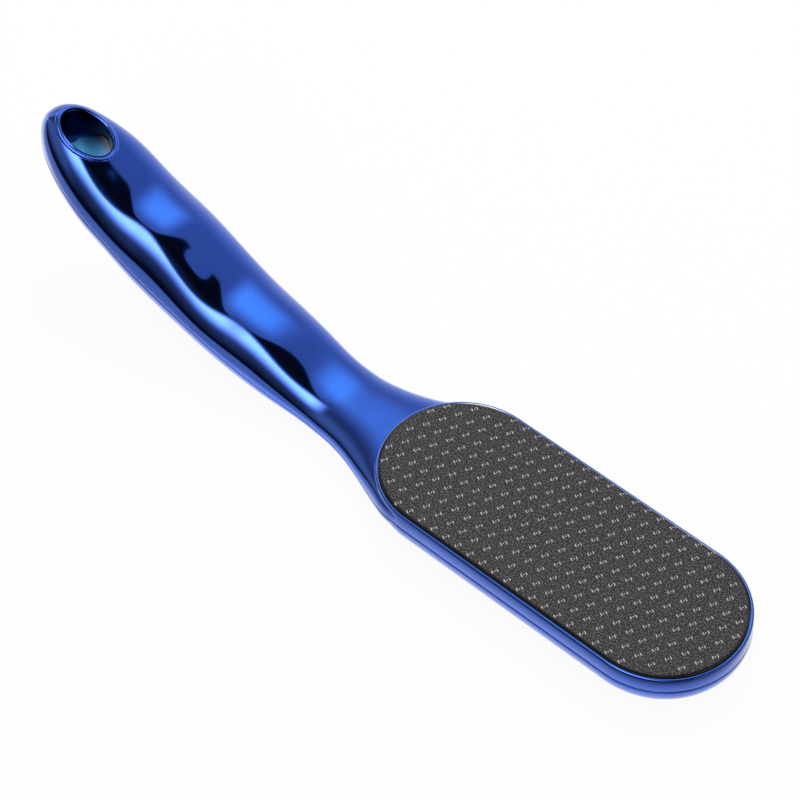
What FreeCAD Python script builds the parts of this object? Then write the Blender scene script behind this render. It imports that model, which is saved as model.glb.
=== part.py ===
import FreeCAD
import Part
import math
import os

# A foot file: a paddle head that carries an etched steel plate, and a waisted, waved handle that rises to a
# tail with a hang hole. X runs from the tail to the head's tip and Z is up. The head's flat underside rests on
# Z = 0, and the origin lies on it under the plate's centre.

# Head
plate_width = 48.0
plate_straight = 72.7       # between the centres of the head's two round ends
head_thickness = 13.8       # from the underside to the plate's top
plate_proud = 0.7           # plate above the rim
plate_fit = 0.1             # plate's edge to the recess
rim_width = 1.0             # plate's edge to the rim's outer edge
rim_round = 0.5
rim_height = 4.7            # rim's top down to the seam between the two halves
wall_draft = 0.35           # how far the wall leans out on its way down to the underside's round
under_round = 7.5
wall = 2.2                  # of both moulded halves
recess_wall = 2.0           # under the plate

# Plate and its adhesive pad
sheet = 0.5
pan_depth = 1.8
roll_radius = 1.1           # outside of the plate's rolled edge
pad_fit = 0.1

# Handle, measured back from the centre of the head's rear end
handle_length = 168.0
tail_rise = 32.2            # seam at the tail above the seam at the head
waist_width = 26.6
grip_width = 32.4
grip_depth = 11.8           # from the seam to the crown or to the belly where the grip is fullest
swell_height = 1.2          # waves along the crown, which follow closer towards the tail
swell_pitch = 48.0          # of the first wave
swell_first = 59.0          # back to where the first wave rises
swell_shortening = 335.0    # length over which twice as many waves would fit
root_length = 7.0           # of the handle's root inside the head
rest_lift = 0.15            # neck's belly above the plane that the head rests on
belly_blend = 0.6           # how gently the belly leaves that plane

# Hang hole, drawn straight down through the tail
hole_length = 17.4
hole_width = 12.5
hole_from_tail = 18.0
sleeve_wall = 1.3
lip_height = 0.4

# Screws under the pad
screw_from_end = 10.4       # back from the centre of the head's round end
screw_from_edge = 10.0      # in from the plate's edge
screw_length = 6.0
shank_radius = 1.25
point_length = 1.2
screw_head_radius = 2.7
screw_head_height = 1.4
screw_head_drop = 0.1       # screw head below the recess floor
screw_hole_fit = 0.25
screw_room = 0.4            # below the screw's point
drive_length = 3.0
drive_width = 0.7
drive_depth = 0.8
boss_radius = 3.9

# Pins and ribs inside the handle
pin_radius = 1.6
pin_height = 2.4            # above the seam
pin_fit = 0.15
pin_wall = 1.6              # round the pin's socket
rib_thickness = 1.6

overrun = 5.0

# Shapes along the handle, as (share of handle_length, share of the size that the table is for)
section_power_share = 2.4   # power of the section's oval; 2 would be an ellipse
flare_shares = ((0.00, 1.00), (0.04, 0.99), (0.10, 0.70), (0.15, 0.40), (0.20, 0.16), (0.25, 0.03), (0.30, 0.00),
                (1.00, 0.00))
grip_shares = ((0.00, 0.00), (0.30, 0.00), (0.40, 0.42), (0.50, 0.71), (0.60, 0.89), (0.70, 1.00), (0.80, 0.80),
               (1.00, 0.70))
rise_shares = ((0.00, 0.000), (0.05, -0.012), (0.10, -0.056), (0.15, -0.084), (0.20, -0.090), (0.25, -0.092),
               (0.30, -0.076), (0.40, 0.000), (0.50, 0.109), (0.60, 0.270), (0.70, 0.457), (0.80, 0.674),
               (0.90, 0.905), (0.95, 0.980), (1.00, 1.000))
crown_shares = ((0.00, 0.38), (0.05, 0.42), (0.10, 0.52), (0.15, 0.56), (0.20, 0.55), (0.25, 0.57), (0.30, 0.63),
                (0.40, 0.73), (0.50, 0.85), (0.60, 0.94), (0.70, 1.00), (0.80, 0.98), (1.00, 0.98))
belly_shares = ((0.00, 1.00), (0.30, 0.80), (0.40, 0.77), (0.50, 0.85), (0.60, 0.94), (0.70, 1.00), (0.80, 0.98),
                (1.00, 0.98))
swell_span_shares = (0.20, 0.88)
tail_share = 0.815          # where the plan and the belly begin to close
crown_close_share = 0.93
plan_power_share = 1.8
belly_power_share = 2.3
crown_power_share = 2.2
rib_shares = (0.23, 0.52)
pin_shares = (0.36, 0.68)
body_steps = 26
tail_steps = 10
half_points = 8             # points on a quarter of a section

plate_half = plate_width / 2
rim_half = plate_half + rim_width
under_half = rim_half + wall_draft
rim_top = head_thickness - plate_proud
seam_level = rim_top - rim_height
recess_floor = head_thickness - pan_depth
end_x = plate_straight / 2
tail_x = -end_x - handle_length
hole_x = tail_x + hole_from_tail
reach = plate_width + grip_width
height = head_thickness + tail_rise + grip_depth + overrun


def vec(x, y, z):
    return FreeCAD.Vector(x, y, z)


def smooth(knots, share):
    """A curve through the knots without overshoot."""
    steps = [b[0] - a[0] for a, b in zip(knots, knots[1:])]
    slopes = [(b[1] - a[1]) / h for a, b, h in zip(knots, knots[1:], steps)]
    bends = [slopes[0]]
    for before, after, h0, h1 in zip(slopes, slopes[1:], steps, steps[1:]):
        mean = 0.0
        if before * after > 0:
            mean = 3 * (h0 + h1) / ((2 * h1 + h0) / before + (h1 + 2 * h0) / after)
        bends.append(mean)
    bends.append(slopes[-1])
    i = 0
    while i < len(steps) - 1 and share > knots[i + 1][0]:
        i += 1
    t = (share - knots[i][0]) / steps[i]
    start = (1 + 2 * t) * (1 - t) ** 2 * knots[i][1] + t * (1 - t) ** 2 * steps[i] * bends[i]
    return start + t * t * (3 - 2 * t) * knots[i + 1][1] + t * t * (t - 1) * steps[i] * bends[i + 1]


def closing(distance, start, end, power):
    """From 1 at the start to 0 at the end, round like an oval."""
    u = max((distance - start) / (end - start), 0.0)
    return max(1 - u ** power, 0.0) ** (1 / power)


def seam_height(distance):
    share = min(max(distance / handle_length, 0.0), 1.0)
    return seam_level + tail_rise * smooth(rise_shares, share)


def swell(distance):
    start, end = swell_span_shares
    span = min(max((distance / handle_length - start) / (end - start), 0.0), 1.0)
    past = distance - swell_first
    turns = past / swell_pitch * (1 + past / swell_shortening)
    return swell_height * math.sqrt(math.sin(math.pi * span)) * math.sin(2 * math.pi * turns)


def section_sizes(distance, inset):
    """Half-width, and depth of the crown and of the belly from the seam, of the handle shrunk by the inset."""
    share = max(distance / handle_length, 0.0)
    end = handle_length - inset
    plan_start = tail_share * handle_length
    crown_start = crown_close_share * handle_length - inset
    half = waist_width / 2
    half += smooth(flare_shares, share) * (rim_half - waist_width / 2)
    half += smooth(grip_shares, share) * (grip_width - waist_width) / 2
    crown = grip_depth * smooth(crown_shares, share) - inset
    full = grip_depth * smooth(belly_shares, share)
    room = seam_height(distance) - rest_lift
    belly = (full + room - math.sqrt((full - room) ** 2 + belly_blend ** 2)) / 2 - inset
    half_closed = (half - inset) * closing(distance, plan_start, end, plan_power_share)
    crown_closed = crown * closing(distance, crown_start, end, crown_power_share) + swell(distance)
    return half_closed, crown_closed, belly * closing(distance, plan_start, end, belly_power_share)


def oval_points():
    """Unit oval from its top round one side to its bottom, as (side, lift) pairs."""
    power = 2 / section_power_share
    points = []
    for i in range(2 * half_points + 1):
        angle = math.pi / 2 * (1 - i / half_points)
        lift = math.copysign(abs(math.sin(angle)) ** power, math.sin(angle))
        points.append((abs(math.cos(angle)) ** power, lift))
    points[0] = (0.0, 1.0)
    points[-1] = (0.0, -1.0)
    return points


def oval_parameters(points):
    """Where each point lies along the unit oval, alike for all sections so that they loft evenly."""
    lengths = [0.0]
    for a, b in zip(points, points[1:]):
        lengths.append(lengths[-1] + math.dist(a, b))
    return [length / lengths[-1] for length in lengths]


def section_wire(distance, inset):
    half, crown, belly = section_sizes(distance, inset)
    x = -end_x - distance
    seam = seam_height(distance)
    oval = oval_points()
    edges = []
    for side in (1, -1):
        points = [vec(x, side * half * y, seam + (crown if z > 0 else belly) * z) for y, z in oval]
        curve = Part.BSplineCurve()
        curve.interpolate(Points=points, Parameters=oval_parameters(oval), InitialTangent=vec(0, side, 0),
                          FinalTangent=vec(0, -side, 0))
        edges.append(curve.toShape())
    edges[1].reverse()
    return Part.Wire(edges)


def handle_body(inset):
    """The handle without the head, shrunk all round by the inset."""
    end = handle_length - inset
    start = tail_share * handle_length
    places = [-root_length, -root_length / 2]
    places += [start * i / body_steps for i in range(body_steps + 1)]
    places += [start + (end - start) * math.sin(math.pi / 2 * i / tail_steps) for i in range(1, tail_steps)]
    profiles = [section_wire(place, inset) for place in places]
    profiles.append(Part.Vertex(vec(-end_x - end, 0, seam_height(end))))
    return Part.makeLoft(profiles, True, False)


def paddle(outline):
    """A half-section, given as edges that start and end on the Z axis, carried round the head's plan."""
    outline = list(outline)
    top = outline[-1].lastVertex().Point
    bottom = outline[0].firstVertex().Point
    outline.append(Part.makeLine(top, bottom))
    face = Part.Face(Part.Wire(outline))
    origin = vec(0, 0, 0)
    up = vec(0, 0, 1)
    pieces = []
    for turn in (90, -90):
        side = face.copy()
        side.rotate(origin, up, turn)
        side.translate(vec(-end_x, 0, 0))
        pieces.append(side.extrude(vec(plate_straight, 0, 0)))
        cap = face.copy()
        cap.rotate(origin, up, turn)
        cap = cap.revolve(origin, up, 180)
        cap.translate(vec(math.copysign(end_x, -turn), 0, 0))
        pieces.append(cap)
    return pieces[0].fuse(pieces[1:]).removeSplitter()


def lines(points):
    """Straight edges through (radius, height) points."""
    return [Part.makeLine(vec(a[0], 0, a[1]), vec(b[0], 0, b[1])) for a, b in zip(points, points[1:])]


def corner(centre_r, centre_z, radius, start, end):
    """A round of the half-section, from one angle to another in degrees."""
    points = []
    for angle in (start, (start + end) / 2, end):
        turn = math.radians(angle)
        points.append(vec(centre_r + radius * math.cos(turn), 0, centre_z + radius * math.sin(turn)))
    return Part.Arc(points[0], points[1], points[2]).toShape()


def slab(half, bottom, top):
    return paddle(lines([(0, bottom), (half, bottom), (half, top), (0, top)]))


def head_body():
    outline = lines([(0, 0), (under_half - under_round, 0)])
    outline.append(corner(under_half - under_round, under_round, under_round, -90, 0))
    outline += lines([(under_half, under_round), (rim_half, rim_top - rim_round)])
    outline.append(corner(rim_half - rim_round, rim_top - rim_round, rim_round, 0, 90))
    outline += lines([(rim_half - rim_round, rim_top), (0, rim_top)])
    return paddle(outline)


def head_hollow():
    half = under_half - wall
    inner_round = under_round - wall
    outline = lines([(0, wall), (half - inner_round, wall)])
    outline.append(corner(half - inner_round, under_round, inner_round, -90, 0))
    outline += lines([(half, under_round), (half, recess_floor - recess_wall), (0, recess_floor - recess_wall)])
    return paddle(outline)


def hole_prism(margin):
    """The hang hole's oval, grown by the margin, right through the tail."""
    half_x = hole_length / 2 + margin
    half_y = hole_width / 2 + margin
    stretch = FreeCAD.Matrix()
    stretch.A11 = half_x / half_y
    oval = Part.Wire(Part.makeCircle(half_y)).transformGeometry(stretch)
    prism = Part.Face(oval).extrude(vec(0, 0, height))
    prism.translate(vec(hole_x, 0, 0))
    return prism


def seam_cutter():
    """Everything below the seam, which is level along the head and follows the handle."""
    steps = body_steps + tail_steps
    places = [handle_length * i / steps for i in range(steps + 1)] + [handle_length + overrun]
    points = [vec(-end_x - place, -reach, seam_height(place)) for place in places]
    curve = Part.BSplineCurve()
    curve.interpolate(Points=points, InitialTangent=vec(-1, 0, 0))
    front = end_x + under_half + overrun
    corners = [points[-1], vec(points[-1].x, -reach, -overrun), vec(front, -reach, -overrun),
               vec(front, -reach, seam_level), points[0]]
    edges = [curve.toShape()]
    edges += [Part.makeLine(a, b) for a, b in zip(corners, corners[1:])]
    return Part.Face(Part.Wire(edges)).extrude(vec(0, 2 * reach, 0))


def screw_places():
    x = end_x - screw_from_end
    y = plate_half - screw_from_edge
    return [(i * x, j * y) for i in (1, -1) for j in (1, -1)]


def post(radius, x, y):
    return Part.makeCylinder(radius, height, vec(x, y, 0))


def stiffeners():
    """Bosses for the screws, posts for the pins, ribs and the hang hole's sleeve, as high as the part."""
    pieces = [post(boss_radius, x, y) for x, y in screw_places()]
    for share in pin_shares:
        pieces.append(post(pin_radius + pin_fit + pin_wall, -end_x - share * handle_length, 0))
    for share in rib_shares:
        place = vec(-end_x - share * handle_length - rib_thickness / 2, -reach, 0)
        pieces.append(Part.makeBox(rib_thickness, 2 * reach, height, place))
    pieces.append(hole_prism(sleeve_wall))
    return pieces


def shell_pair():
    """The two moulded halves, hollow inside, parted along the seam."""
    lip = hole_prism(sleeve_wall).common(handle_body(-lip_height))
    outside = handle_body(0).fuse([head_body(), lip])
    hollow = handle_body(wall).fuse(head_hollow()).cut(stiffeners())
    recess = slab(plate_half + plate_fit, recess_floor, head_thickness + overrun)
    below = seam_cutter()
    cuts = [hollow, recess, hole_prism(0)]
    return outside.cut(below).cut(cuts), outside.common(below).cut(cuts)


def seat_level():
    return recess_floor - screw_head_drop - screw_head_height


def upper_shell(half):
    cuts = []
    for x, y in screw_places():
        bore = vec(x, y, seat_level())
        cuts.append(Part.makeCylinder(screw_head_radius + screw_hole_fit, pan_depth + overrun, bore))
        cuts.append(post(shank_radius + screw_hole_fit, x, y))
    for share in pin_shares:
        distance = share * handle_length
        socket = vec(-end_x - distance, 0, seam_height(distance) - overrun)
        cuts.append(Part.makeCylinder(pin_radius + pin_fit, overrun + pin_height + pin_fit, socket))
    return half.cut(cuts)


def lower_shell(half):
    pilots = []
    point = seat_level() - screw_length - screw_room
    for x, y in screw_places():
        pilots.append(Part.makeCylinder(shank_radius, head_thickness, vec(x, y, point)))
    pins = []
    for share in pin_shares:
        distance = share * handle_length
        foot = vec(-end_x - distance, 0, seam_height(distance) - pin_height)
        pins.append(Part.makeCylinder(pin_radius, 2 * pin_height, foot))
    return half.cut(pilots).fuse(pins)


def file_plate():
    """A pan pressed from sheet, open below, with a rolled edge."""
    outside = plate_half
    inside = plate_half - sheet
    bend_r = plate_half - roll_radius
    bend_z = head_thickness - roll_radius
    under = head_thickness - sheet
    outline = lines([(0, under), (bend_r, under)])
    outline.append(corner(bend_r, bend_z, roll_radius - sheet, 90, 0))
    outline += lines([(inside, bend_z), (inside, recess_floor), (outside, recess_floor), (outside, bend_z)])
    outline.append(corner(bend_r, bend_z, roll_radius, 0, 90))
    outline += lines([(bend_r, head_thickness), (0, head_thickness)])
    return paddle(outline)


def plate_tape():
    return slab(plate_half - roll_radius - pad_fit, recess_floor, head_thickness - sheet)


def shell_screw(x, y):
    """A pan-head screw with a cross drive and a turned point."""
    seat = seat_level()
    straight = screw_length - point_length
    head = Part.makeCylinder(screw_head_radius, screw_head_height, vec(x, y, seat))
    shank = Part.makeCylinder(shank_radius, straight, vec(x, y, seat - straight))
    point = Part.makeCone(0, shank_radius, point_length, vec(x, y, seat - screw_length))
    top = seat + screw_head_height - drive_depth
    slots = []
    for size_x, size_y in ((drive_length, drive_width), (drive_width, drive_length)):
        slots.append(Part.makeBox(size_x, size_y, drive_depth + overrun, vec(x - size_x / 2, y - size_y / 2, top)))
    return head.fuse([shank, point]).cut(slots).removeSplitter()


os.makedirs("parts", exist_ok=True)
upper_half, lower_half = shell_pair()
nodes = {
    "upper_shell": upper_shell(upper_half),
    "lower_shell": lower_shell(lower_half),
    "file_plate": file_plate(),
    "plate_tape": plate_tape(),
    "shell_screws": Part.makeCompound([shell_screw(x, y) for x, y in screw_places()]),
}
for node, shape in nodes.items():
    shape.exportStep("parts/%s.step" % node)
    box = shape.BoundBox
    print(node, "solids", len(shape.Solids), "valid", shape.isValid(), "volume %.1f" % shape.Volume,
          "x %.2f %.2f" % (box.XMin, box.XMax), "y %.2f %.2f" % (box.YMin, box.YMax),
          "z %.2f %.2f" % (box.ZMin, box.ZMax))
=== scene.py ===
# %% [markdown]
# # A foot file
# The tool is a paddle: a black etched steel plate in a glossy blue head, and a blue handle that narrows
# behind the head, waves under the fingers and rises to a tail with a hang hole. The body is moulded in
# two halves that meet at a seam, and then plated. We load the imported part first, because every piece is
# made in its frame, in metres.

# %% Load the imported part
import bpy
import bmesh
import math
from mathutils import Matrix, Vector


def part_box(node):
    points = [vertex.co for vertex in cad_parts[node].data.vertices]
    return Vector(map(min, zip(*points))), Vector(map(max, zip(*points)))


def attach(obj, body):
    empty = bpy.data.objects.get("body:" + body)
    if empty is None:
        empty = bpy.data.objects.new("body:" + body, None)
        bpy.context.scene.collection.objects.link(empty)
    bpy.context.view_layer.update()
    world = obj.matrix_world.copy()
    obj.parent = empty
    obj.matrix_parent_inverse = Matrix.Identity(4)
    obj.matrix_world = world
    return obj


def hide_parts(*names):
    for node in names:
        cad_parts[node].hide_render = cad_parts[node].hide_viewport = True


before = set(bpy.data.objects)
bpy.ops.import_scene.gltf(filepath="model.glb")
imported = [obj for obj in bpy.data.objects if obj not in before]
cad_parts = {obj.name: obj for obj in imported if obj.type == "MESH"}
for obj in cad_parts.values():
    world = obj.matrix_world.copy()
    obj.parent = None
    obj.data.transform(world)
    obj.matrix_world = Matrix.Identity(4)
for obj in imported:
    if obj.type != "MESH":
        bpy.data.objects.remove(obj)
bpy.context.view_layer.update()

# %% [markdown]
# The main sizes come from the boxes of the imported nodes, so the dressed pieces follow the part when it is
# made again. They could be typed in a second time, but two copies of one size soon differ. Only the small
# sizes that a box can't tell are written here.

# %% Measures
mm = 0.001
plate_low, plate_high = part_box("file_plate")
under_low, under_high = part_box("lower_shell")
plate_half = plate_high.y
end_x = plate_high.x - plate_half
plate_top = plate_high.z
recess_floor = plate_low.z
under_half = under_high.y
handle_length = -end_x - under_low.x
rim_wall, plate_stand, seam_drop = 1.0 * mm, 0.7 * mm, 4.7 * mm
rim_half = plate_half + rim_wall
rim_top = plate_top - plate_stand
rim_round = 0.5 * mm
seam_level = rim_top - seam_drop
under_round = 7.5 * mm
print("plate", plate_half, end_x, plate_top, "handle", handle_length, "seam", seam_level)

# %% [markdown]
# The handle has one section, an oval a little squarer than an ellipse. Its width, its height above the
# seam and its depth below it change on the way to the tail, and the seam itself rises. Each change is a
# short table of (share of the handle's length, share of the size). A handle could also be pushed about by
# eye, but a table is easy to change later, and a plated surface shows every dent.

# %% Sizes along the handle
waist_width = 26.6 * mm
grip_width = 32.4 * mm
grip_depth = 11.8 * mm
tail_rise = 32.2 * mm
swell_height = 1.2 * mm
swell_pitch = 48.0 * mm
swell_first = 59.0 * mm
swell_shortening = 335.0 * mm
swell_start_share, swell_end_share = 0.20, 0.88
rest_lift = 0.15 * mm
belly_blend = 0.6 * mm
section_power = 2.4
plan_power, crown_power, belly_power = 1.8, 2.2, 2.3
tail_start = 0.815 * handle_length
crown_close = 0.93 * handle_length

flare_shares = ((0.00, 1.00), (0.04, 0.99), (0.10, 0.70), (0.15, 0.40), (0.20, 0.16), (0.25, 0.03),
                (0.30, 0.00), (1.00, 0.00))
grip_shares = ((0.00, 0.00), (0.30, 0.00), (0.40, 0.42), (0.50, 0.71), (0.60, 0.89), (0.70, 1.00),
               (0.80, 0.80), (1.00, 0.70))
rise_shares = ((0.00, 0.000), (0.05, -0.012), (0.10, -0.056), (0.15, -0.084), (0.20, -0.090),
               (0.25, -0.092), (0.30, -0.076), (0.40, 0.000), (0.50, 0.109), (0.60, 0.270),
               (0.70, 0.457), (0.80, 0.674), (0.90, 0.905), (0.95, 0.980), (1.00, 1.000))
crown_shares = ((0.00, 0.38), (0.05, 0.42), (0.10, 0.52), (0.15, 0.56), (0.20, 0.55), (0.25, 0.57),
                (0.30, 0.63), (0.40, 0.73), (0.50, 0.85), (0.60, 0.94), (0.70, 1.00), (0.80, 0.98),
                (1.00, 0.98))
belly_shares = ((0.00, 1.00), (0.30, 0.80), (0.40, 0.77), (0.50, 0.85), (0.60, 0.94), (0.70, 1.00),
                (0.80, 0.98), (1.00, 0.98))
print("waist", waist_width, "grip", grip_width, "tail rise", tail_rise)

# %% [markdown]
# A smooth curve runs through each table. Straight lines between the values would show as creases in the
# reflections, and a plain spline swings past its points, so the slope is held back where the values turn.
# Waves for the fingers run along the crown, and they follow closer towards the tail.

# %% Curves along the handle
def smooth(knots, share):
    """A curve through the knots that never overshoots them."""
    share = min(max(share, 0.0), 1.0)
    steps = [b[0] - a[0] for a, b in zip(knots, knots[1:])]
    slopes = [(b[1] - a[1]) / h for a, b, h in zip(knots, knots[1:], steps)]
    bends = [slopes[0]]
    for before, after, h0, h1 in zip(slopes, slopes[1:], steps, steps[1:]):
        mean = 0.0
        if before * after > 0:
            mean = 3 * (h0 + h1) / ((2 * h1 + h0) / before + (h1 + 2 * h0) / after)
        bends.append(mean)
    bends.append(slopes[-1])
    i = 0
    while i < len(steps) - 1 and share > knots[i + 1][0]:
        i += 1
    t = (share - knots[i][0]) / steps[i]
    start = (1 + 2 * t) * (1 - t) ** 2 * knots[i][1] + t * (1 - t) ** 2 * steps[i] * bends[i]
    return start + t * t * (3 - 2 * t) * knots[i + 1][1] + t * t * (t - 1) * steps[i] * bends[i + 1]


def closing(distance, start, power):
    """From 1 at the start to 0 at the tail, round like an oval."""
    u = min(max((distance - start) / (handle_length - start), 0.0), 1.0)
    return (1 - u ** power) ** (1 / power)


def seam_height(distance):
    return seam_level + tail_rise * smooth(rise_shares, distance / handle_length)


def half_width(distance):
    share = distance / handle_length
    half = waist_width / 2 + smooth(flare_shares, share) * (rim_half - waist_width / 2)
    half += smooth(grip_shares, share) * (grip_width - waist_width) / 2
    return half * closing(distance, tail_start, plan_power)


def crown_rise(distance):
    share = distance / handle_length
    span = (share - swell_start_share) / (swell_end_share - swell_start_share)
    span = min(max(span, 0.0), 1.0)
    past = distance - swell_first
    turns = past / swell_pitch * (1 + past / swell_shortening)
    swell = math.sqrt(math.sin(math.pi * span)) * math.sin(2 * math.pi * turns)
    plain = grip_depth * smooth(crown_shares, share) * closing(distance, crown_close, crown_power)
    return plain + swell_height * swell


def belly_drop(distance):
    full = grip_depth * smooth(belly_shares, distance / handle_length)
    room = seam_height(distance) - rest_lift
    drop = (full + room - math.sqrt((full - room) ** 2 + belly_blend ** 2)) / 2
    return drop * closing(distance, tail_start, belly_power)


widest = 0.7 * handle_length
print("grip", half_width(widest), crown_rise(widest), belly_drop(widest))

# %% [markdown]
# Most pieces here start as a line that is drawn vertex by vertex. A plane is added, merged to one vertex,
# and that vertex is extruded from point to point. A list of points could be made a mesh in one go, but
# this is how it goes by hand. Parts of a mesh are then picked in code by their place, where a hand would
# click.

# %% Drawing helpers
def draw_line(name, points):
    """A line through the points, all of it selected, in edit mode."""
    bpy.ops.object.select_all(action="DESELECT")
    bpy.ops.mesh.primitive_plane_add(size=1 * mm, location=(0, 0, 0))
    piece = bpy.context.object
    piece.name = name
    bpy.ops.object.mode_set(mode="EDIT")
    bpy.ops.mesh.merge(type="CENTER")
    bpy.ops.transform.translate(value=points[0])
    for a, b in zip(points, points[1:]):
        bpy.ops.mesh.extrude_region_move(TRANSFORM_OT_translate={"value": Vector(b) - Vector(a)})
    bpy.ops.mesh.select_all(action="SELECT")
    return piece


def pick(piece, test):
    """Selects the vertices whose place passes the test, and what lies between them."""
    mesh = bmesh.from_edit_mesh(piece.data)
    for part in (mesh.faces, mesh.edges, mesh.verts):
        for item in part:
            item.select = False
    for vertex in mesh.verts:
        vertex.select = test(vertex.co)
    mesh.select_flush(True)
    bmesh.update_edit_mesh(piece.data)


def pick_open_edges(piece, ends):
    """Selects the edges that have one face only, apart from those at an end place along X."""
    mesh = bmesh.from_edit_mesh(piece.data)
    for part in (mesh.faces, mesh.edges, mesh.verts):
        for item in part:
            item.select = False
    for edge in mesh.edges:
        at_end = any(all(abs(vertex.co.x - x) < 0.001 * mm for vertex in edge.verts) for x in ends)
        if edge.is_boundary and not at_end:
            edge.select_set(True)
    bmesh.update_edit_mesh(piece.data)


def close_up(piece):
    """Fills what is open, turns the faces outwards and leaves edit mode."""
    bpy.ops.mesh.select_all(action="SELECT")
    bpy.ops.mesh.remove_doubles(threshold=0.001 * mm)
    bpy.ops.mesh.fill_holes(sides=0)
    bpy.ops.mesh.select_all(action="SELECT")
    bpy.ops.mesh.normals_make_consistent(inside=False)
    bpy.ops.object.mode_set(mode="OBJECT")
    print(piece.name, len(piece.data.vertices), "vertices", len(piece.data.polygons), "faces")


# %% [markdown]
# Each half of the handle is one moulding, so its section is drawn from seam to seam, with a narrow flange
# turned in at the seam so that the joint shows as a fine groove. Near the head the oval is made squarer,
# so that its side runs into the head's upright wall. A bevel at the neck could lead over too, but it
# would show as an edge in the reflections.

# %% The handle's section
flange_shares = ((0.86, 0.0), (0.984, 0.0), (0.9995, 0.016))
oval_turns = (4, 9, 15, 22, 30, 38, 47, 56, 65, 74, 82)
root_reach = 30 * mm


def half_section():
    """One half of the handle's section at unit size, from seam to seam, as (side, lift)."""
    side = list(flange_shares)
    for angle in oval_turns:
        turn = math.radians(angle)
        side.append((math.cos(turn) ** (2 / section_power), math.sin(turn) ** (2 / section_power)))
    return side + [(0.0, 1.0)] + [(-a, b) for a, b in reversed(side)]


def square_root(piece, lift_at, way, root_power):
    """Makes the section squarer towards the head, so that the handle's side runs into the head's wall."""
    for vertex in piece.data.vertices:
        distance = -end_x - vertex.co.x
        t = min(max(distance / root_reach, 0.0), 1.0)
        power = section_power + (root_power - section_power) * (1 - t * t * (3 - 2 * t)) ** 2
        seam, half, lift = seam_height(distance), half_width(distance), lift_at(distance)
        a, b = abs(vertex.co.y) / half, abs(vertex.co.z - seam) / lift
        if b > 0.01:
            plain = (a ** section_power + b ** section_power) ** (1 / section_power)
            grown = plain / (a ** power + b ** power) ** (1 / power)
            vertex.co.y *= grown
            vertex.co.z = seam + way * lift * b * grown


print("section points", len(half_section()))

# %% [markdown]
# The section is extruded ring by ring towards the tail, and each new ring is resized to the curves above.
# A curve object could carry the section along as well, but it can't change the width and the height apart
# from each other. A subdivision surface then rounds everything, which gives the clean reflections that a
# plated surface shows. The lower half is made in the same way, downwards.

# %% The handle's two halves
root_overlap = 7 * mm
crown_root_power, belly_root_power = 8.0, 2.9
grip_rings, tail_rings = 40, 14
last_ring_share = 0.9997
rings = [-root_overlap, -root_overlap / 2] + [tail_start * i / grip_rings for i in range(grip_rings + 1)]
rings += [tail_start + (handle_length - tail_start) * math.sin(math.pi / 2 * i / tail_rings)
          for i in range(1, tail_rings)]
rings.append(handle_length * last_ring_share)


def handle_half(name, lift_at, way, root_power):
    x = -end_x - rings[0]
    seam, half, lift = seam_height(rings[0]), half_width(rings[0]), lift_at(rings[0])
    piece = draw_line(name, [(x, half * a, seam + way * lift * b) for a, b in half_section()])
    for before, after in zip(rings, rings[1:]):
        step = Vector((before - after, 0, seam_height(after) - seam_height(before)))
        bpy.ops.mesh.extrude_region_move(TRANSFORM_OT_translate={"value": step})
        ratio = (1, half_width(after) / half_width(before), lift_at(after) / lift_at(before))
        bpy.ops.transform.resize(value=ratio, center_override=(-end_x - after, 0, seam_height(after)))
    bpy.ops.object.mode_set(mode="OBJECT")
    square_root(piece, lift_at, way, root_power)
    rounding = piece.modifiers.new("rounding", "SUBSURF")
    rounding.levels = rounding.render_levels = 2
    bpy.ops.object.modifier_apply(modifier=rounding.name)
    bpy.ops.object.mode_set(mode="EDIT")
    bpy.ops.mesh.select_mode(type="EDGE")
    pick_open_edges(piece, (-end_x - rings[0], -end_x - rings[-1]))
    bpy.ops.mesh.bridge_edge_loops()
    bpy.ops.mesh.select_mode(type="VERT")
    close_up(piece)
    return piece


upper_handle = handle_half("upper_handle", crown_rise, 1, crown_root_power)
lower_handle = handle_half("lower_handle", belly_drop, -1, belly_root_power)

# %% [markdown]
# The hang hole is an oval that goes straight down through the tail. An oval cylinder is taken from both
# halves with a Boolean, because the hole's edge crosses many faces of the curved surface, and fitting
# them to it by hand would dent the surface. The lower half's hole is a trace wider, as where two
# mouldings meet, so a fine line shows inside.

# %% Hang hole
hole_inset, half_step = 18.0 * mm, 0.15 * mm
hole_x = -end_x - handle_length + hole_inset
hole_half_x, hole_half_y = 8.7 * mm, 6.25 * mm
tool_depth, tool_level = 100 * mm, 30 * mm


def cut(piece, tool):
    bpy.context.view_layer.objects.active = piece
    taken = piece.modifiers.new("taken", "BOOLEAN")
    taken.operation, taken.solver, taken.object = "DIFFERENCE", "EXACT", tool
    bpy.ops.object.modifier_apply(modifier=taken.name)


def remove(tool):
    bpy.ops.object.select_all(action="DESELECT")
    tool.select_set(True)
    bpy.ops.object.delete()


def oval_tool(margin):
    bpy.ops.object.select_all(action="DESELECT")
    middle = (hole_x, 0, tool_level)
    bpy.ops.mesh.primitive_cylinder_add(vertices=96, radius=hole_half_x + margin, depth=tool_depth,
                                        location=middle)
    bpy.ops.object.mode_set(mode="EDIT")
    ratio = (hole_half_y + margin) / (hole_half_x + margin)
    bpy.ops.transform.resize(value=(1, ratio, 1), center_override=middle)
    bpy.ops.object.mode_set(mode="OBJECT")
    return bpy.context.object


for piece, margin in ((upper_handle, 0.0), (lower_handle, half_step)):
    tool = oval_tool(margin)
    cut(piece, tool)
    remove(tool)
    print(piece.name, "with hole", len(piece.data.polygons), "faces")

# %% [markdown]
# The handle's root runs into the head. Where it would stand in the recess under the plate, a round tool
# of about the recess's size clears it away, in the same way as the hole.

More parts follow.
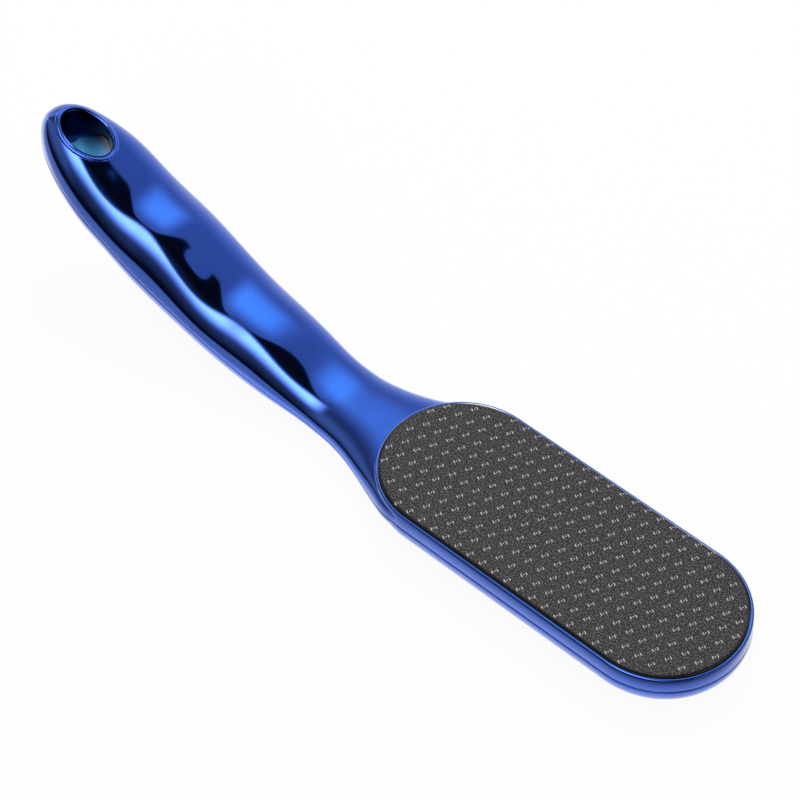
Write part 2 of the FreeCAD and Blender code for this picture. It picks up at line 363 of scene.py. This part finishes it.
# %% Recess in the handle's root
root_clearance, root_tool_depth, root_tool_lift = 0.5 * mm, 4 * mm, 1.95 * mm
bpy.ops.object.select_all(action="DESELECT")
bpy.ops.mesh.primitive_cylinder_add(vertices=128, radius=plate_half + root_clearance, depth=root_tool_depth,
                                    location=(-end_x, 0, recess_floor + root_tool_lift))
tool = bpy.context.object
cut(upper_handle, tool)
remove(tool)
print("root cleared", len(upper_handle.data.polygons))

# %% [markdown]
# A raised bead runs round the hole's mouth, on the crown and on the underside. The hole's edge could be
# bevelled instead, but a Boolean leaves uneven faces there. So the bead is a torus, pressed to an oval,
# whose vertices are then lifted on to the handle's surface, where it sinks in a little.

# %% Beads round the hole
bead_x, bead_y = 9.62 * mm, 7.17 * mm
bead_round, bead_flat, bead_sink = 1.05 * mm, 0.62, 0.27 * mm


def shell_lift(x, y, lift_at):
    """Height of the handle's surface above or below the seam at a place in plan."""
    distance = -end_x - x
    across = min(abs(y) / half_width(distance), 1.0)
    return lift_at(distance) * (1 - across ** section_power) ** (1 / section_power)


def bead(name, lift_at, way):
    bpy.ops.object.select_all(action="DESELECT")
    bpy.ops.mesh.primitive_torus_add(major_segments=256, minor_segments=14, major_radius=bead_x,
                                     minor_radius=bead_round, location=(hole_x, 0, 0))
    piece = bpy.context.object
    piece.name = name
    bpy.ops.object.mode_set(mode="EDIT")
    bpy.ops.transform.resize(value=(1, bead_y / bead_x, bead_flat), center_override=(hole_x, 0, 0))
    bpy.ops.object.mode_set(mode="OBJECT")
    bpy.ops.object.transform_apply(location=True, rotation=True, scale=True)
    for vertex in piece.data.vertices:
        x, y, z = vertex.co
        around = math.atan2(y / bead_y, (x - hole_x) / bead_x)
        middle_x, middle_y = hole_x + bead_x * math.cos(around), bead_y * math.sin(around)
        base = seam_height(-end_x - middle_x) + way * (shell_lift(middle_x, middle_y, lift_at) - bead_sink)
        vertex.co.z = z + base
    return piece


beads = [bead("upper_bead", crown_rise, 1), bead("lower_bead", belly_drop, -1)]
print("beads", [len(b.data.polygons) for b in beads])

# %% [markdown]
# The head's rim, its pan and the plate have the same paddle plan, two half circles with straight sides
# between them. They could be cut from a block, but carrying a section round gives even rounds all the
# way. The section is drawn on the near side, its corners are rounded with a vertex bevel, and it is spun
# half a turn at the tip, extruded back along the straight side, spun at the rear and extruded forward
# again. Merging doubles closes the ring. Each straight side has a short step at both ends, which keeps
# the shading of the round ends off it.

# %% Round the paddle's plan
corner_reach = 0.01 * mm
straight_shares = (0.03, 0.94, 0.03)


def round_corner(piece, place, radius, segments):
    """Rounds the drawn line's corner at that (radius, height) place."""
    r, z = place
    pick(piece, lambda p: abs(-p.y - r) < corner_reach and abs(p.z - z) < corner_reach)
    bpy.ops.mesh.bevel(offset=radius, segments=segments, affect="VERTICES")


def paddle(name, section, rounds):
    """A section of (radius, height) points, carried round the head's plan."""
    piece = draw_line(name, [(end_x, -r, z) for r, z in section])
    for place, radius, segments in rounds:
        round_corner(piece, place, radius, segments)
    bpy.ops.mesh.select_all(action="SELECT")
    for way in (1, -1):
        bpy.ops.mesh.spin(steps=72, angle=-math.pi, center=(way * end_x, 0, 0), axis=(0, 0, 1))
        for share in straight_shares:
            step = (-way * share * 2 * end_x, 0, 0)
            bpy.ops.mesh.extrude_region_move(TRANSFORM_OT_translate={"value": step})
    bpy.ops.mesh.select_all(action="SELECT")
    bpy.ops.mesh.remove_doubles(threshold=0.002 * mm)
    close_up(piece)
    return piece


# %% [markdown]
# The rim is the upper half's share of the head: a wall with a rounded top edge, and a ledge under the
# plate. The pan is the lower half's share, with a large round at the underside. One straight wall leans
# out from the rim to that round, and both pieces have a small lip at the seam, so that it shows as a
# groove.

# %% Rim and pan
wall_top = rim_top - rim_round
seam_half = rim_half + (under_half - rim_half) * (wall_top - seam_level) / (wall_top - under_round)
lip, inner_round = 0.28 * mm, 0.32 * mm
plate_gap = 0.1 * mm
recess_half = plate_half + plate_gap
ledge, pan_inside = 20 * mm, 16 * mm
rim_section = [(ledge, recess_floor), (recess_half, recess_floor), (recess_half, rim_top),
               (rim_half, rim_top), (seam_half, seam_level), (ledge, seam_level)]
rim_rounds = [((rim_half, rim_top), rim_round, 8), ((recess_half, rim_top), inner_round, 5),
              ((seam_half, seam_level), lip, 4)]
rim = paddle("rim", rim_section, rim_rounds)
pan_section = [(pan_inside, seam_level), (seam_half, seam_level), (under_half, under_round),
               (under_half, 0), (pan_inside, 0)]
pan_rounds = [((under_half, 0), under_round * 0.999, 14), ((seam_half, seam_level), lip, 4)]
pan = paddle("pan", pan_section, pan_rounds)
print("rim top", max(v.co.z for v in rim.data.vertices), "tip", max(v.co.x for v in rim.data.vertices))

# %% [markdown]
# Each half is one moulding on the real object, so its bodies are joined to one piece that stands for its
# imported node. A Boolean union could melt them together, but it would spoil their even faces, and bodies
# that run into each other look the same.

# %% Join the halves
def join(name, parts):
    bpy.ops.object.select_all(action="DESELECT")
    for part in parts:
        part.select_set(True)
    bpy.context.view_layer.objects.active = parts[0]
    bpy.ops.object.join()
    piece = bpy.context.object
    piece.name = name
    return piece


def finish_piece(piece, angle=35):
    bpy.ops.object.select_all(action="DESELECT")
    piece.select_set(True)
    bpy.context.view_layer.objects.active = piece
    bpy.ops.object.shade_smooth_by_angle(angle=math.radians(angle))
    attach(piece, "root")
    print(piece.name, len(piece.data.polygons), "faces")
    return piece


upper = finish_piece(join("upper_half", [upper_handle, rim, beads[0]]))
lower = finish_piece(join("lower_half", [lower_handle, pan, beads[1]]))
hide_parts("upper_shell")
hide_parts("lower_shell")

# %% [markdown]
# The plate is a shallow steel pan, pressed from sheet, with its edge rolled down all round. A flat
# outline with a Solidify modifier could make it too. It takes the same way as the head, so that the two
# fit: a drawn section, two rounded corners, and a turn round the paddle's plan.

# %% Steel plate
sheet = 0.5 * mm
roll = 1.1 * mm
plate_inside, sheet_under = plate_half - sheet, plate_top - sheet
plate_section = [(ledge, plate_top), (plate_half, plate_top), (plate_half, recess_floor),
                 (plate_inside, recess_floor), (plate_inside, sheet_under), (ledge, sheet_under)]
plate = paddle("etched_plate", plate_section, [((plate_half, plate_top), roll, 8),
                                               ((plate_inside, sheet_under), roll - sheet, 4)])
finish_piece(plate)
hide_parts("file_plate")

# %% [markdown]
# The plate's teeth are etched marks: a dot between two short curved ridges. On the real plate acid leaves
# them standing when the ground is etched away. A bump in the material could show them, but real faces
# catch the light at every angle. One mark is modelled with few faces: each ridge is a bent strip that is
# extruded up and narrowed at its top, and the dot is a low cylinder, narrowed in the same way.

# %% One tooth mark
ridge_from, ridge_bend, ridge_half, ridge_thick = 0.02 * mm, 0.62 * mm, 0.80 * mm, 0.38 * mm
mark_sink, mark_height = 0.02 * mm, 0.14 * mm
ridge_middle, ridge_top_shares = 0.72 * mm, (0.75, 0.85, 1)
dot_radius, dot_height, dot_top_shares = 0.26 * mm, 0.16 * mm, (0.6, 0.6, 1)
mark_turn = -62


def ridge(name, way):
    """A short curved ridge on one side of the dot."""
    points = []
    for angle in (-42, -21, 0, 21, 42):
        turn = math.radians(angle)
        x = way * (ridge_from + ridge_bend * math.cos(turn))
        points.append((x, ridge_half * math.sin(turn), plate_top - mark_sink))
    piece = draw_line(name, points)
    bpy.ops.mesh.extrude_region_move(TRANSFORM_OT_translate={"value": (way * ridge_thick, 0, 0)})
    bpy.ops.mesh.select_all(action="SELECT")
    bpy.ops.mesh.extrude_region_move(TRANSFORM_OT_translate={"value": (0, 0, mark_height)})
    centre = (way * ridge_middle, 0, plate_top)
    bpy.ops.transform.resize(value=ridge_top_shares, center_override=centre)
    close_up(piece)
    return piece


def dot(name):
    bpy.ops.object.select_all(action="DESELECT")
    bpy.ops.mesh.primitive_cylinder_add(vertices=8, radius=dot_radius, depth=dot_height,
                                        location=(0, 0, plate_top + dot_height / 4))
    piece = bpy.context.object
    piece.name = name
    bpy.ops.object.transform_apply(location=True, rotation=True, scale=True)
    bpy.ops.object.mode_set(mode="EDIT")
    pick(piece, lambda p: p.z > plate_top)
    bpy.ops.transform.resize(value=dot_top_shares, center_override=(0, 0, plate_top))
    bpy.ops.object.mode_set(mode="OBJECT")
    return piece


mark = join("mark", [ridge("ridge_a", 1), ridge("ridge_b", -1), dot("dot")])
bpy.ops.object.mode_set(mode="EDIT")
bpy.ops.mesh.select_all(action="SELECT")
bpy.ops.transform.rotate(value=math.radians(mark_turn), orient_axis="Z", center_override=(0, 0, plate_top))
bpy.ops.object.mode_set(mode="OBJECT")
print("mark", len(mark.data.polygons), "faces", [round(v, 6) for v in mark.dimensions])

# %% [markdown]
# The marks stand in rows, and every second row is shifted by half a step. An Array modifier would fill a
# rectangle, but the plate has round ends, so each place on its face gets a copy of the mark with its own
# mesh. All copies are joined, and where they reach over the rolled edge they are let down on it.

# %% Rows of marks
pitch, row_step = 4.49 * mm, 4.5 * mm
first_x, first_y = 1.66 * mm, 0.35 * mm
rows, columns = int(plate_half / row_step) + 1, int(plate_high.x / pitch) + 1
marks = []
for row in range(-rows, rows + 1):
    y = first_y + row * row_step
    for column in range(-columns, columns + 1):
        x = first_x + (column + 0.5 * (row % 2)) * pitch
        past = max(abs(x) - end_x, 0.0)
        if math.hypot(past, y) < plate_half - roll:
            copy = mark.copy()
            copy.data = mark.data.copy()
            bpy.context.collection.objects.link(copy)
            copy.location = (x, y, 0)
            marks.append(copy)
remove(mark)
teeth = join("plate_teeth", marks)
bpy.ops.object.transform_apply(location=True, rotation=True, scale=True)
for vertex in teeth.data.vertices:
    past = math.hypot(max(abs(vertex.co.x) - end_x, 0.0), vertex.co.y) - (plate_half - roll)
    if past > 0:
        vertex.co.z -= roll - math.sqrt(max(roll ** 2 - past ** 2, 0.0))
finish_piece(teeth, 30)
print("marks", len(marks))

# %% [markdown]
# Finishes are written as expressions, which are easier to read than nodes that are placed and linked one
# by one. A small class wraps a socket, so that sums and products of sockets add their Math nodes.

# %% Value class
class Value:
    """A socket of a finish; arithmetic on it adds Math nodes."""
    def __init__(self, finish, socket):
        self.finish, self.socket = finish, socket

    def maths(self, operation, a, b):
        return self.finish.node("ShaderNodeMath", {"operation": operation}, {0: a, 1: b})

    def __add__(self, other): return self.maths("ADD", self, other)
    def __radd__(self, other): return self.maths("ADD", other, self)
    def __sub__(self, other): return self.maths("SUBTRACT", self, other)
    def __rsub__(self, other): return self.maths("SUBTRACT", other, self)
    def __mul__(self, other): return self.maths("MULTIPLY", self, other)
    def __rmul__(self, other): return self.maths("MULTIPLY", other, self)
    def __truediv__(self, other): return self.maths("DIVIDE", self, other)
    def __pow__(self, other): return self.maths("POWER", self, other)
    def __abs__(self): return self.maths("ABSOLUTE", self, 0.0)
    def at_least(self, other): return self.maths("MAXIMUM", self, other)

    def between(self, low, high, start=0.0, end=1.0):
        """From start at the low value to end at the high one, eased."""
        sockets = {"Value": self, "From Min": low, "From Max": high, "To Min": start, "To Max": end}
        return self.finish.node("ShaderNodeMapRange", {"interpolation_type": "SMOOTHSTEP"}, sockets)


# %% [markdown]
# A finish is a material, or the world. One method adds any node by its type, its settings and its
# sockets, and the other methods are short names for what is used often.

# %% Finish class
class Finish:
    """A material or world whose nodes are added one by one."""
    def __init__(self, owner):
        owner.use_nodes = True
        self.owner, self.tree = owner, owner.node_tree
        self.tree.nodes.clear()

    def node(self, kind, settings=None, sockets=None, output=0):
        made = self.tree.nodes.new(kind)
        for name, setting in (settings or {}).items():
            setattr(made, name, setting)
        for name, value in (sockets or {}).items():
            if isinstance(value, Value):
                self.tree.links.new(value.socket, made.inputs[name])
            else:
                made.inputs[name].default_value = value
        return Value(self, made.outputs[output]) if made.outputs else None

    def place(self):
        """X, Y and Z of the object's own coordinates."""
        where = self.node("ShaderNodeTexCoord", output="Object")
        split = self.node("ShaderNodeSeparateXYZ", {}, {0: where}).socket.node
        return where, [Value(self, socket) for socket in split.outputs]

    def noise(self, where, scale, detail=3.0, roughness=0.5):
        return self.node("ShaderNodeTexNoise", {}, {"Vector": where, "Scale": scale, "Detail": detail,
                                                    "Roughness": roughness})

    def mix(self, factor, a, b):
        return self.node("ShaderNodeMix", {"data_type": "RGBA"}, {0: factor, 6: a, 7: b}, 2)

    def bump(self, height, strength, distance):
        sockets = {"Height": height, "Strength": strength, "Distance": distance}
        return self.node("ShaderNodeBump", {}, sockets)

    def seen(self):
        """1 for what the camera sees, also by a mirror or through glass, and 0 for light on other things."""
        rays = self.node("ShaderNodeLightPath").socket.node
        camera, glossy, through = (Value(self, rays.outputs["Is %s Ray" % kind])
                                   for kind in ("Camera", "Glossy", "Transmission"))
        return camera.at_least(glossy).at_least(through)

    def surface(self, shader):
        """Leads the shader to the output and gives back the finished material or world."""
        kind = "World" if isinstance(self.owner, bpy.types.World) else "Material"
        self.node("ShaderNodeOutput" + kind, {}, {"Surface": shader})
        return self.owner


def material(name):
    return Finish(bpy.data.materials.new(name))


def dress(objects, made):
    for piece in objects:
        piece.data.materials.clear()
        piece.data.materials.append(made)
    print(made.name, len(made.node_tree.nodes), "nodes on", [piece.name for piece in objects])


# %% [markdown]
# The body is plastic with a mirror-bright blue plating under a clear lacquer. A plain glossy blue would
# look like paint, so a metal base gives the deep colour, and a coat adds the pale sheen at glancing
# angles. Slow changes of colour and roughness stand for handling, and a very shallow bump keeps the
# reflections from being perfect. Inside the hole the colour is painted light and shade: a painted teal
# reflection low down turns to painted shade, nearly black, at the mouth. A painted highlight, a pale
# silver band, runs round the rim's inner edge next to the plate.

# %% Blue plating
def from_middle(finish):
    """Distance from the paddle's middle line, over the round ends too."""
    where, (x, y, _) = finish.place()
    past = (abs(x) - end_x).at_least(0.0)
    return where, (past * past + y * y) ** 0.5


plating = material("blue_plating")
where, reach = from_middle(plating)
_, (x, y, z) = plating.place()
cloud = plating.noise(where, 60.0, 2.0)
haze = plating.noise(where, 900.0, 3.0)
colour = plating.mix(cloud.between(0.3, 0.7), (0.020, 0.138, 0.85, 1), (0.024, 0.150, 0.89, 1))
across, along = y / hole_half_y, (x - hole_x) / hole_half_x
inside = (across * across + along * along).between(1.04, 1.08, 1.0, 0.0)
# Painted light and shade inside the hole: a painted teal reflection low down, painted shade nearly black at
# the mouth.
painted_light_level, painted_shade_level = 30 * mm, 44 * mm
depth = z.between(painted_light_level, painted_shade_level) + 0.3 * cloud
wall = plating.mix(depth, (0.07, 0.34, 0.72, 1), (0.001, 0.004, 0.022, 1))
colour = plating.mix(inside, colour, wall)
# Painted highlight: a pale silver band on the rim's inner edge, next to the plate, stands for the light
# caught there.
painted_highlight_start, painted_highlight_full, painted_highlight_fade, painted_highlight_end = (plate_half + past * mm for past in (0.02, 0.12, 0.28, 0.42))
painted_highlight_foot, painted_highlight_top = rim_top - 0.5 * mm, rim_top - 0.3 * mm
edge = reach.between(painted_highlight_start, painted_highlight_full) * reach.between(painted_highlight_fade, painted_highlight_end, 1.0, 0.0)
edge = edge * z.between(painted_highlight_foot, painted_highlight_top)
colour = plating.mix(edge, colour, (0.72, 0.74, 0.80, 1))
rough = cloud.between(0.3, 0.7, 0.05, 0.08) + haze * 0.02
wave = plating.bump(plating.noise(where, 35.0, 1.0), 0.02, 2 * mm)
shine = plating.node("ShaderNodeBsdfPrincipled", {}, {
    "Base Color": colour, "Metallic": 1.0, "Roughness": rough, "Normal": wave, "Coat Weight": 1.0 - inside,
    "Coat Roughness": 0.03, "Coat IOR": 1.65})
dress([upper, lower], plating.surface(shine))

# %% [markdown]
# The plate is blackened steel. Its face is etched to a fine grain of light specks on charcoal, while the
# rolled edge is left smooth and darker. The edge could be given a material of its own, but the change
# would be a hard line, so it is told from the face by the distance to the paddle's middle line, as on the
# rim.

# %% Black steel
steel = material("black_steel")
where, reach = from_middle(steel)
grain_fade, grain_end = plate_half - 1.0 * mm, plate_half - 0.3 * mm
face = reach.between(grain_fade, grain_end, 1.0, 0.0)
speck = steel.node("ShaderNodeTexVoronoi", {"feature": "F1", "voronoi_dimensions": "2D"},
                   {"Vector": where, "Scale": 1300.0, "Randomness": 0.85})
grain = steel.noise(where, 1900.0, 2.0, 0.6)
fleck = speck.between(0.15, 0.36, 1.0, 0.0) * grain.between(0.25, 0.60, 0.45, 1.0)
ground = steel.mix(fleck, (0.034, 0.029, 0.031, 1), (0.148, 0.136, 0.139, 1))
colour = steel.mix(face, (0.010, 0.010, 0.011, 1), ground)
rough = face.between(0.0, 1.0, 0.10, 0.55) - fleck * 0.10
etch = steel.bump(fleck * face, 0.5, 0.2 * mm)
shine = steel.node("ShaderNodeBsdfPrincipled", {}, {
    "Base Color": colour, "Roughness": rough, "Normal": etch, "Specular IOR Level": 0.3})
dress([plate], steel.surface(shine))

# %% [markdown]
# The teeth are rubbed bright, so they are a lighter, barer steel with a little grain. They are a piece of
# their own, so they need no mask in the plate's material.

# %% Bright teeth
bright = material("tooth_steel")
where, _ = bright.place()
grain = bright.noise(where, 3000.0, 2.0, 0.6)
colour = bright.mix(grain.between(0.35, 0.65), (0.38, 0.37, 0.365, 1), (0.55, 0.535, 0.53, 1))
rough = grain.between(0.3, 0.7, 0.35, 0.5)
shine = bright.node("ShaderNodeBsdfPrincipled", {}, {
    "Base Color": colour, "Metallic": 0.15, "Roughness": rough})
dress([teeth], bright.surface(shine))

# %% [markdown]
# The foam pad and the screws are inside, under the plate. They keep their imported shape, which needs no
# more detail, and get their own finishes, for when the plate is taken off.

# %% Foam and zinc
foam = material("foam_tape")
where, _ = foam.place()
cells = foam.node("ShaderNodeTexVoronoi", {"feature": "F1"}, {"Vector": where, "Scale": 2500.0})
colour = foam.mix(cells.between(0.1, 0.6), (0.62, 0.62, 0.58, 1), (0.80, 0.80, 0.77, 1))
rough = cells.between(0.0, 0.6, 0.95, 0.8)
pits = foam.bump(cells, 0.4, 0.2 * mm)
shine = foam.node("ShaderNodeBsdfPrincipled", {}, {
    "Base Color": colour, "Roughness": rough, "Normal": pits})
dress([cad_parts["plate_tape"]], foam.surface(shine))

zinc = material("screw_steel")
where, _ = zinc.place()
bloom = zinc.noise(where, 1500.0, 3.0)
colour = zinc.mix(bloom.between(0.35, 0.65), (0.52, 0.53, 0.55, 1), (0.66, 0.66, 0.66, 1))
shine = zinc.node("ShaderNodeBsdfPrincipled", {}, {
    "Base Color": colour, "Metallic": 1.0, "Roughness": bloom.between(0.3, 0.7, 0.25, 0.42)})
dress([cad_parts["shell_screws"]], zinc.surface(shine))

# %% [markdown]
# The floor is pale and keeps a soft shadow. A plain white material would turn grey under these lamps, so
# it is partly lit, and partly white of its own for the camera and for reflections, as on a lit table.

# %% Floor
floor_radius, floor_drop = 6.0, 0.4 * mm
bpy.ops.object.select_all(action="DESELECT")
bpy.ops.mesh.primitive_circle_add(vertices=96, radius=floor_radius, fill_type="NGON",
                                  location=(0, 0, -floor_drop))
floor = bpy.context.object
floor.name = "floor"
table = material("floor")
lit = table.node("ShaderNodeBsdfDiffuse", {}, {"Color": (0.86, 0.86, 0.86, 1)})
white = table.node("ShaderNodeEmission", {}, {"Color": (1, 1, 1, 1), "Strength": 1.0})
table_shader = table.node("ShaderNodeMixShader", {}, {0: table.seen() * 0.93, 1: lit, 2: white})
dress([floor], table.surface(table_shader))

# %% [markdown]
# A mirror finish is seen by what it mirrors, and lamps alone would leave small spots with black between.
# So a half tunnel of cloth stands round the object, as in a light tent: a soft panel behind with a bright
# ridge, a dark gap that opens towards the tip, a bright strip on the near side, and cloth that darkens
# below it. A round spot breaks the gap. Places on the cloth are given by the turn round the tunnel, in
# degrees from straight up, with the near side positive, and by the lean along it, with the tip positive.
# The tunnel shows in reflections only.

# %% Light tent
def reflected_only(stand):
    stand.visible_camera = stand.visible_diffuse = stand.visible_transmission = stand.visible_shadow = False


tent_radius, tent_back, tent_front, tent_shift = 2.0, -30.0, 6.0, 0.1
tent = draw_line("light_tent", [(tent_back, tent_radius, 0.0), (tent_front, tent_radius, 0.0)])
bpy.ops.mesh.spin(steps=96, angle=-math.pi, center=(0, 0, 0), axis=(1, 0, 0))
bpy.ops.object.mode_set(mode="OBJECT")
reflected_only(tent)
cloth = material("tent_cloth")
_, (x, y, z) = cloth.place()
turn = cloth.node("ShaderNodeMath", {"operation": "ARCTAN2"}, {0: 0.0 - y, 1: z}) * (180 / math.pi)
lean = (x + tent_shift) / tent_radius

gap_far = lean.between(-0.16, 0.26, -2.0, -25.0)
gap_near = 3.0 + 33.0 * lean
softness = lean.between(-0.42, -0.13, 28.0, 1.5)
panel = ((turn - gap_far) / softness).between(-1.0, 1.0, 1.0, 0.0)
spot_turn, spot_lean, spot_tall, spot_wide = -26.0, 0.43, 17.0, 0.11
from_spot = ((turn - spot_turn) / spot_tall) ** 2.0 + ((lean - spot_lean) / spot_wide) ** 2.0
screen = panel.at_least(from_spot.between(0.8, 1.15, 1.0, 0.0))

ridge_light = turn.between(-58.0, -26.0) * turn.between(-26.0, -4.0, 1.0, 0.1)
ridge_light = ridge_light * lean.between(-0.2, 0.1, 1.0, 0.0) * lean.between(-0.6, -0.3, 0.5, 1.0)
horizon = turn.between(-92.0, -44.0, 0.42, 0.0)
back = screen * (0.35 + horizon + 0.82 * ridge_light)
strip = (turn - gap_near).between(-1.0, 11.0) * turn.between(15.0, 60.0, 1.0, 0.0)
strip = strip * lean.between(-0.47, -0.13, 0.0, 1.0)
fill = turn.between(0.0, 30.0) * turn.between(40.0, 90.0, 1.0, 0.0) * lean.between(-0.45, -0.15, 0.36, 0.14)
glow = back + strip ** 2.6 * 4.0 + fill + 0.01

brightest = 5.0
cool = cloth.mix(screen * ridge_light, (0.78, 0.86, 1, 1), (0.58, 1, 1, 1))
tint = cloth.mix(screen * turn.between(-90.0, -42.0), (1, 0.92, 0.85, 1), cool)
light = cloth.mix(glow / brightest, (0, 0, 0, 1), tint)
dress([tent], cloth.surface(cloth.node("ShaderNodeEmission", {}, {"Color": light, "Strength": brightest})))
print("tent", [round(v, 3) for v in tent.dimensions])

# %% [markdown]
# A graded sheet lies on the floor, and it too shows in reflections only. The upright walls mirror it: it
# is pale right beside the object, so the walls fade towards their foot, and dark further out, so they are
# deep blue under the rim. Along the handle it is graded by the distance to the near side, and round the
# head by the distance to its middle line.

# %% Graded sheet
sheet_size, sheet_lift = 8.0, 0.3 * mm
bpy.ops.object.select_all(action="DESELECT")
bpy.ops.mesh.primitive_grid_add(x_subdivisions=4, y_subdivisions=4, size=sheet_size,
                                location=(0, 0, sheet_lift))
grey_sheet = bpy.context.object
grey_sheet.name = "grey_sheet"
reflected_only(grey_sheet)
grey = material("grey_sheet")
_, (x, y, _) = grey.place()
_, reach = from_middle(grey)
by_handle = y.between(-300 * mm, -90 * mm, 0.01, 0.48) + y.between(-34 * mm, -19 * mm, 0.0, 0.52)
by_handle = by_handle - y.between(20 * mm, 100 * mm, 0.0, 0.2)
by_head = reach.between(27 * mm, 42 * mm, 0.9, 0.06) * x.between(40 * mm, 100 * mm, 1.0, 0.6)
pale = by_handle + (by_head - by_handle) * x.between(-65 * mm, -30 * mm)
light = grey.mix(pale, (0, 0, 0, 1), (1, 0.97, 0.92, 1))
dress([grey_sheet], grey.surface(grey.node("ShaderNodeEmission", {}, {"Color": light, "Strength": 1.0})))

# %% [markdown]
# Two soft lamps and a white room light the plate and the floor at a plain level. The lamps are kept out
# of reflections, because they would show in the plating as discs.

# %% Lamps and room
lamp_aim = (-60 * mm, 0, 10 * mm)


def soft_lamp(name, place, size, power):
    bpy.ops.object.light_add(type="AREA", location=place)
    lamp = bpy.context.object
    lamp.name = name
    lamp.data.shape, lamp.data.size, lamp.data.energy = "DISK", size, power
    lamp.rotation_euler = (Vector(lamp_aim) - Vector(place)).to_track_quat("-Z", "Y").to_euler()
    lamp.visible_glossy = False
    print(name, place, power)


soft_lamp("key_lamp", (-0.5, 0.8, 1.3), 0.9, 14.0)
soft_lamp("side_lamp", (0.2, -1.2, 0.9), 0.7, 6.0)
world = bpy.data.worlds.new("room")
bpy.context.scene.world = world
room = Finish(world)
air = room.node("ShaderNodeBackground", {}, {"Color": (1, 1, 1, 1), "Strength": 0.55})
sky = room.node("ShaderNodeBackground", {}, {"Color": (1, 1, 1, 1), "Strength": 1.0})
room.surface(room.node("ShaderNodeMixShader", {}, {0: room.seen(), 1: air, 2: sky}))

# %% [markdown]
# The camera stands where the photograph was taken from: above the near side, looking along the handle.
# Its place was found by fitting the part's outline to the photograph's.

# %% Camera
camera_place = (0.28452, -0.38152, 0.62291)
look_down, look_round = 49.348, 42.105
bpy.ops.object.camera_add(location=camera_place,
                          rotation=(math.radians(90 - look_down), 0, math.radians(look_round)))
camera = bpy.context.object
camera.data.lens, camera.data.sensor_width = 124.47, 36
bpy.context.scene.camera = camera
bpy.context.scene.view_settings.view_transform = "Standard"
